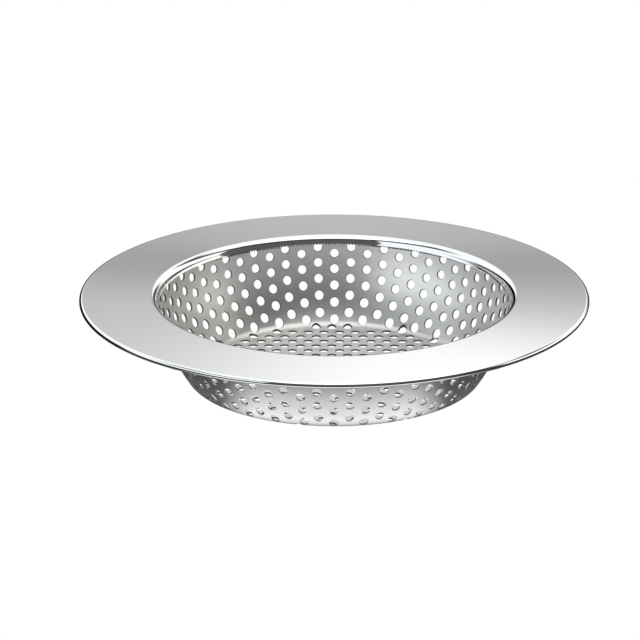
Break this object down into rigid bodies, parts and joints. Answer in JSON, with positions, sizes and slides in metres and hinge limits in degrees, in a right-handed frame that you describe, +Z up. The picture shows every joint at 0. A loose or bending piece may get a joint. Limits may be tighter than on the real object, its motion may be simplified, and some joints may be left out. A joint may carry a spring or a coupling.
{
  "type": "sink strainer",
  "caption": "Low stainless steel sink strainer: a broad polished rim with a turned-in mouth holds a shallow perforated basket with a flat bottom.",
  "frame": {"origin": "on the axis of the strainer, in the plane of the basket's underside, which is the plane of a table that the strainer stands on", "axes": "+Z up along the axis, through the mouth; -Y towards the viewer of the picture; +X to the viewer's right"},
  "size_m": [0.073, 0.073, 0.0127],
  "materials": {
    "polished_steel": "mirror-polished stainless steel",
    "satin_steel": "satin stainless steel, as rolled"
  },
  "bodies": {
    "root": {"rim": "polished_steel", "basket": "satin_steel"}
  },
  "joints": []
}
